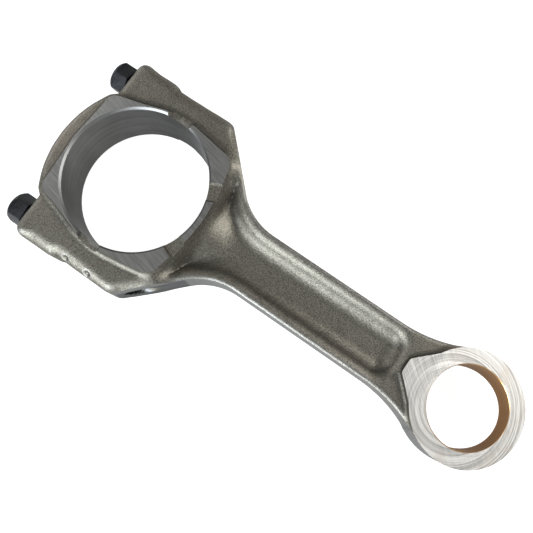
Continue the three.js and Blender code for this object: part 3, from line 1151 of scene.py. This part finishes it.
@dataclass
class Machining:
    """Everything that is cut into the forging."""

    datum: Datum
    forging: Forging
    bore: float = 36.5
    chamfer: float = 1.0
    eye_bore: float = 22.0
    land_half: float = 14.7
    taper_start: float = 169.5
    slope: float = 0.1814
    seat: float = -36.0
    seat_radius: float = 9.2
    gap: float = 0.004
    notch_sizes: tuple = ((90, 5.75, 2.0), (-90, 5.75, 2.0), (24, 3.9, 1.6), (-24, 3.9, 1.6))
    notch_reach: tuple = (33.0, 43.8)

    def wedges(self) -> list:
        """Cutters for the flat and tapered faces of the small end.

        Returns:
            One cutter for each side.
        """
        end = 235.0
        fall = self.land_half - (end - self.taper_start) * self.slope
        found = []
        for side in (1, -1):
            flat = [(150, self.land_half), (self.taper_start, self.land_half)]
            profile = flat + [(end, fall), (end, 30), (150, 30)]
            points = [
                (x + self.datum.big_x, y, self.datum.mid_z + side * z)
                for y in (-60, 60)
                for x, z in profile
            ]
            faces = [[0, 1, 2, 3, 4], [9, 8, 7, 6, 5]]
            faces += [[i, 5 + i, 5 + (i + 1) % 5, (i + 1) % 5] for i in range(5)]
            if side < 0:
                faces = [f[::-1] for f in faces]
            found.append(mesh_object("wedge", np.array(points), faces))
        return found

    def big_bore(self) -> bpy.types.Object:
        """Cutter for the big-end bore and its chamfers.

        Returns:
            The cutter.
        """
        half = self.forging.pad_half
        wide = self.bore + self.chamfer + 2
        profile = [(0, -half - 2), (wide, -half - 2), (self.bore, self.chamfer - half)]
        profile += [(r, -h) for r, h in profile[::-1]]
        return lathe(profile, BORE_SIDES, upright(self.datum.big_x, self.datum.mid_z), "bore")

    def notches(self) -> list:
        """Cutters for the notches across the thrust faces.

        Returns:
            One cutter for each notch and side.
        """
        found = []
        for turn, half, depth in self.notch_sizes:
            for side in (1, -1):
                a = math.radians(turn)
                ring = [(-half, 0), (half, 0), (half + 1.4, 1), (-half - 1.4, 1)]
                points = []
                for along in self.notch_reach:
                    for across, rise in ring:
                        z = side * (self.forging.pad_half - depth + rise * (depth + 0.6))
                        x = along * math.cos(a) - across * math.sin(a)
                        y = along * math.sin(a) + across * math.cos(a)
                        points.append((x + self.datum.big_x, y, z + self.datum.mid_z))
                faces = [[3, 2, 1, 0], [4, 5, 6, 7]]
                faces += [[i, (i + 1) % 4, 4 + (i + 1) % 4, 4 + i] for i in range(4)]
                if side < 0:
                    faces = [f[::-1] for f in faces]
                found.append(mesh_object("notch", np.array(points), faces))
        return found

    def bolt_holes(self) -> list:
        """Cutters for the seats, the clearance holes and the threaded holes.

        Returns:
            The cutters of both bolt axes.
        """
        found = []
        for side in (1, -1):
            place = along_x(self.datum, side * self.datum.bolt_y)
            seat = [(0, -60), (self.seat_radius, -60), (self.seat_radius, self.seat), (5.75, self.seat)]
            found.append(lathe(seat + [(5.75, 0), (0, 0)], BOLT_SIDES, place))
            found.append(Thread().solid(-2.0, 46.0, 0.14, 0.0, place))
            found.append(lathe([(0, 28), (4.6, 28), (7.4, 38.5), (7.4, 46), (0, 46)], BOLT_SIDES, place))
        return found

    def cut(self) -> bpy.types.Object:
        """Forge and machine the rod with its cap still on.

        Returns:
            The whole rod.
        """
        rod = self.forging.build()
        top = self.forging.pad_half
        sheet = np.array([(-120.0, -120.0), (240.0, -120.0), (240.0, 120.0), (-120.0, 120.0)])
        carve(rod, [prism(sheet, -top, top, self.datum)], "INTERSECT")
        keep = self.forging.outlines["keep"] + [0, self.forging.drift]
        carve(rod, [prism(keep, -60, 60, self.datum)], "INTERSECT")
        hole = [(0, -40), (self.eye_bore, -40), (self.eye_bore, 40), (0, 40)]
        eye = lathe(hole, EYE_SIDES, upright(self.datum.eye_x, self.datum.mid_z))
        carve(rod, self.wedges() + [self.big_bore(), eye] + self.notches() + self.bolt_holes())
        return rod

    def half(self, whole: bpy.types.Object, name: str, side: int) -> bpy.types.Object:
        """One side of the split at the big-end bore.

        Args:
            whole: The machined rod with its cap on.
            name: Name of the piece.
            side: 1 for the rod, -1 for the cap.

        Returns:
            The piece.
        """
        piece = duplicate(whole, name)
        near, away = side * self.gap, side * 300.0
        sheet = np.array([(near, -120.0), (away, -120.0), (away, 120.0), (near, 120.0)])
        carve(piece, [prism(sheet, -60, 60, self.datum)], "INTERSECT")
        return piece

    def sort_faces(self, piece: bpy.types.Object) -> None:
        """Give every face the slot of the tool that made it.

        Args:
            piece: The rod or the cap.
        """
        mesh = piece.data
        n = len(mesh.polygons)
        centre, normal = np.zeros(n * 3), np.zeros(n * 3)
        mesh.polygons.foreach_get("center", centre)
        mesh.polygons.foreach_get("normal", normal)
        x, y, z = (centre.reshape(-1, 3) / MM - [self.datum.big_x, 0, self.datum.mid_z]).T
        nx, ny, nz = np.abs(normal.reshape(-1, 3)).T
        up = np.abs(z)
        ring = np.hypot(x, y)
        eye = np.hypot(x - self.forging.eye[0], y)
        axis = np.hypot(np.abs(y) - self.datum.bolt_y, z)
        land = self.land_half - np.maximum(x - self.taper_start, 0) * self.slope
        kind = np.full(n, int(Surface.FORGED))
        flank = np.abs(polygon_distance(self.forging.outlines["keep"], x, y - self.forging.drift)) < 2 * TINY
        kind[flank & (nz < 0.05)] = Surface.FLANK
        kind[(np.abs(up - self.forging.pad_half) < TINY) & (nz > FLAT)] = Surface.THRUST
        kind[(np.abs(up - land) < TINY) & (x > 156) & (nz > 0.97)] = Surface.EYE_FACE
        kind[(np.abs(ring - self.bore) < 3 * TINY) & (nz < 0.1)] = Surface.BORE
        kind[(ring < self.bore + 1.8) & (nz > 0.3) & (nz < 0.95) & (up > 15)] = Surface.CHAMFER
        kind[(np.abs(eye - self.eye_bore) < 3 * TINY) & (nz < 0.1)] = Surface.BORE
        kind[(np.abs(x - self.seat) < TINY) & (axis < self.seat_radius) & (nx > FLAT)] = Surface.THRUST
        kind[(axis < 5.95) & (x > self.seat + TINY) & (np.abs(y) > 36)] = Surface.THREAD
        kind[(np.abs(x) < 2 * TINY) & (nx > FLAT)] = Surface.SPLIT
        mesh.polygons.foreach_set("material_index", kind.astype(np.int32))
        # curvature of the forged skin, stored as bend: it places the painted shade in fillets and the lighter
        # edges of wear and painted highlight
        points = np.zeros(len(mesh.vertices) * 3)
        mesh.vertices.foreach_get("co", points)
        points = points.reshape(-1, 3) / MM - [self.datum.big_x, 0, self.datum.mid_z]
        skin = sorted({v for f, k in zip(mesh.polygons, kind) if k == Surface.FORGED for v in f.vertices})
        value = np.zeros(len(points), np.float32)
        value[skin] = self.forging.curvature(points[skin])
        bend = mesh.attributes.new("bend", "FLOAT", "POINT")
        bend.data.foreach_set("value", value)


@dataclass
class Bush:
    """The bronze bush of the small end."""

    datum: Datum
    machining: Machining
    inner: float = 20.0
    outer: float = 21.95
    chamfer: float = 0.5

    def build(self, finishes: list) -> bpy.types.Object:
        """Make the bush and hang it on the rod.

        Args:
            finishes: Materials of the lining, the end faces and the lip of the bore; the lip's lighter colour
                is a painted highlight.

        Returns:
            The bush.
        """
        place = upright(self.datum.eye_x, self.datum.mid_z)
        half = self.machining.land_half
        profile = [(0, -half), (self.outer, -half), (self.outer, half), (0, half)]
        bush = lathe(profile, EYE_SIDES, place, "bronze_bush")
        carve(bush, [lathe([(0, -40), (self.inner, -40), (self.inner, 40), (0, 40)], EYE_SIDES, place)])
        carve(bush, self.machining.wedges() + [self.mouth(1), self.mouth(-1)])
        shade(bush, 25)
        bush.data.materials.clear()
        for finish in finishes:
            bush.data.materials.append(finish)
        self.sort_faces(bush)
        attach(bush, "rod")
        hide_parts("small_end_bush")
        return bush

    def sort_faces(self, bush: bpy.types.Object) -> None:
        """Lining in slot 0, ground end faces and shell in slot 1, chamfered lip in slot 2, painted lighter
        than the lining as a highlight.

        Args:
            bush: The bush.
        """
        for face in bush.data.polygons:
            x, y = face.center.x / MM - self.datum.eye_x, face.center.y / MM
            rise, out = abs(face.normal.z), math.hypot(x, y)
            if rise > 0.95 or out > self.outer - 0.1:
                face.material_index = 1
            elif rise > 0.2:
                face.material_index = 2

    def mouth(self, side: int) -> bpy.types.Object:
        """A cone that chamfers one tapered end of the bore.

        Args:
            side: 1 for the upper end, -1 for the lower one.

        Returns:
            The cutter.
        """
        along = self.machining.forging.eye[0] - self.machining.taper_start
        middle = self.machining.land_half - along * self.machining.slope
        tilt = Matrix.Rotation(side * math.atan(self.machining.slope), 3, "Y")
        turn = np.array(tilt)
        wide = self.inner + self.chamfer
        profile = [(0, -6), (wide - 6, -6), (wide + 2, 2), (wide + 2, 9), (0, 9)]
        if side < 0:
            profile = [(r, -h) for r, h in profile[::-1]]
        shift = [self.datum.eye_x, 0, self.datum.mid_z + side * middle]
        return lathe(profile, EYE_SIDES, lambda p: p @ turn.T + shift)


# ---------------------------------------------------------------- the studio


@dataclass(frozen=True)
class Studio:
    """A pale table, soft light and the camera."""

    place: tuple = (0.027756, -0.038360, 0.323481)
    right: tuple = (0.82096459, 0.57052565, -0.02275121)
    up: tuple = (-0.55827121, 0.81041527, 0.17765232)
    back: tuple = (0.11979313, -0.13314492, 0.98383029)
    lens: float = 41.87
    sensor: float = 36.0

    def build(self) -> None:
        """Set up camera, floor, world and lights."""
        scene = bpy.context.scene
        data = bpy.data.cameras.new("camera")
        data.lens, data.sensor_width, data.clip_start = self.lens, self.sensor, 0.01
        camera = bpy.data.objects.new("camera", data)
        turn = Matrix((self.right, self.up, self.back)).transposed().to_4x4()
        camera.matrix_world = Matrix.Translation(self.place) @ turn
        scene.collection.objects.link(camera)
        scene.camera = camera
        scene.view_settings.view_transform = "Standard"
        self.floor()
        self.world()
        self.lamp("key", (-0.12, -0.64, 0.31), 0.50, 10.0, (0.87, 0.935, 1.0))
        self.lamp("far", (0.42, 0.46, 0.42), 0.40, 4.6, (1.0, 0.99, 0.97))
        self.lamp("left", (-0.62, 0.10, 0.38), 0.40, 1.2, (1.0, 1.0, 1.0))

    def floor(self) -> None:
        """A wide pale floor that glows a little, like a lit table."""
        size = 3000.0
        floor = mesh_object(
            "floor",
            np.array([(-size, -size, 0), (size, -size, 0), (size, size, 0), (-size, size, 0)]),
            [[0, 1, 2, 3]],
        )
        g = Graph("floor_paper")
        tone = g.ramp(g.noise(3, 2), (0.3, (0.32, 0.32, 0.32)), (0.7, (0.34, 0.34, 0.34)))
        material = g.finish(tone, 0.0, 0.9, [])
        g.shader.inputs["Emission Color"].default_value = (1, 1, 1, 1)
        g.shader.inputs["Emission Strength"].default_value = 0.92
        floor.data.materials.append(material)
        floor.location.z = -0.0001

    def world(self) -> None:
        """Even white surroundings."""
        world = bpy.data.worlds.new("studio")
        world.use_nodes = True
        back = world.node_tree.nodes["Background"]
        back.inputs[0].default_value = (1, 1, 1, 1)
        back.inputs[1].default_value = 0.40
        bpy.context.scene.world = world

    def lamp(self, name: str, place: tuple, size: float, power: float, colour: tuple) -> None:
        """A square soft light that faces the middle of the rod.

        Args:
            name: Name of the light.
            place: Position in metres.
            size: Side in metres.
            power: Watts.
            colour: Red, green and blue.
        """
        data = bpy.data.lights.new(name, "AREA")
        data.size, data.energy, data.color = size, power, colour
        lamp = bpy.data.objects.new(name, data)
        lamp.location = place
        lamp.rotation_euler = (-Vector(place)).to_track_quat("-Z", "Y").to_euler()
        bpy.context.scene.collection.objects.link(lamp)


def dress_steel(piece: bpy.types.Object, body: str, node: str, finishes: dict) -> None:
    """Give a machined forging its materials and hang it on its body.

    Args:
        piece: The rod or the cap.
        body: Body that it rides on.
        node: CAD node that it stands for.
        finishes: Material of every kind of surface.
    """
    piece.data.materials.clear()
    for kind in Surface:
        piece.data.materials.append(finishes[kind])
    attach(piece, body)
    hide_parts(node)


def steel_finishes(datum: Datum) -> dict:
    """The material of every kind of surface on the rod and cap.

    Args:
        datum: The rod's axes.

    Returns:
        A material for each kind.
    """
    return {
        Surface.FORGED: ForgedSkin().build("forged_skin"),
        Surface.THRUST: CutSteel(
            (0.17, 0.17, 0.162), (0.310, 0.310, 0.297), turn=13, fine=2000, relief=0.35
        ).build("milled_thrust_face"),
        Surface.BORE: BoredMetal((0.090, 0.090, 0.088), (0.185, 0.185, 0.182)).build("bored_steel"),
        Surface.FLANK: ForgedSkin((0.13, 0.13, 0.124), (0.25, 0.25, 0.242)).build("trimmed_flank"),
        Surface.EYE_FACE: EyeFace().build("ground_eye_face", datum.eye_x * MM),
        Surface.SPLIT: CutSteel(
            (0.20, 0.20, 0.20), (0.42, 0.42, 0.42), (0.5, 0.7), 0, 1400, 1.0
        ).build("split_face"),
        Surface.THREAD: BoredMetal((0.06, 0.06, 0.06), (0.22, 0.22, 0.22)).build("tapped_thread"),
        Surface.CHAMFER: BoredMetal(
            (0.13, 0.13, 0.128), (0.22, 0.22, 0.216), (0.36, 0.48)
        ).build("bore_chamfer"),
    }


def main() -> None:
    """Build every piece and report it."""
    logging.basicConfig(level=logging.INFO)
    datum = Datum.from_frame()
    Studio().build()
    machining = Machining(datum, Forging(datum))
    whole = machining.cut()
    finishes = steel_finishes(datum)
    halves = (("forged_rod", 1, "rod", "rod_body"), ("forged_cap", -1, "cap", "rod_cap"))
    for name, side, body, node in halves:
        piece = machining.half(whole, name, side)
        dress_steel(piece, body, node, finishes)
        machining.sort_faces(piece)
        shade(piece, CRISP_ANGLE)
        LOG.info("%s: %d faces", name, len(piece.data.polygons))
    bpy.data.objects.remove(whole)
    lining = BoredMetal(
        (0.185, 0.100, 0.046), (0.330, 0.190, 0.092), (0.40, 0.55), 0.8
    ).build("bronze_lining")
    # the lip is painted much lighter than the lining of the same bronze: a painted highlight on the chamfer
    lip = BoredMetal((0.46, 0.27, 0.12), (0.62, 0.38, 0.18), (0.25, 0.35), 0.9).build("bronze_lip_painted_highlight")
    bush = Bush(datum, machining).build([lining, finishes[Surface.EYE_FACE], lip])
    LOG.info("bronze_bush: %d faces", len(bush.data.polygons))
    black = BlackOxide().build("black_oxide")
    for name, body, node, side, turn in (
        ("flange_bolt_upper", "bolt_upper", "cap_bolt_upper", 1, 98.0),
        ("flange_bolt_lower", "bolt_lower", "cap_bolt_lower", -1, 70.0),
    ):
        bolt = CapBolt(datum, name, body, node, side, turn).build(black)
        LOG.info("%s: %d faces", name, len(bolt.data.polygons))


if __name__ == "__main__":
    main()
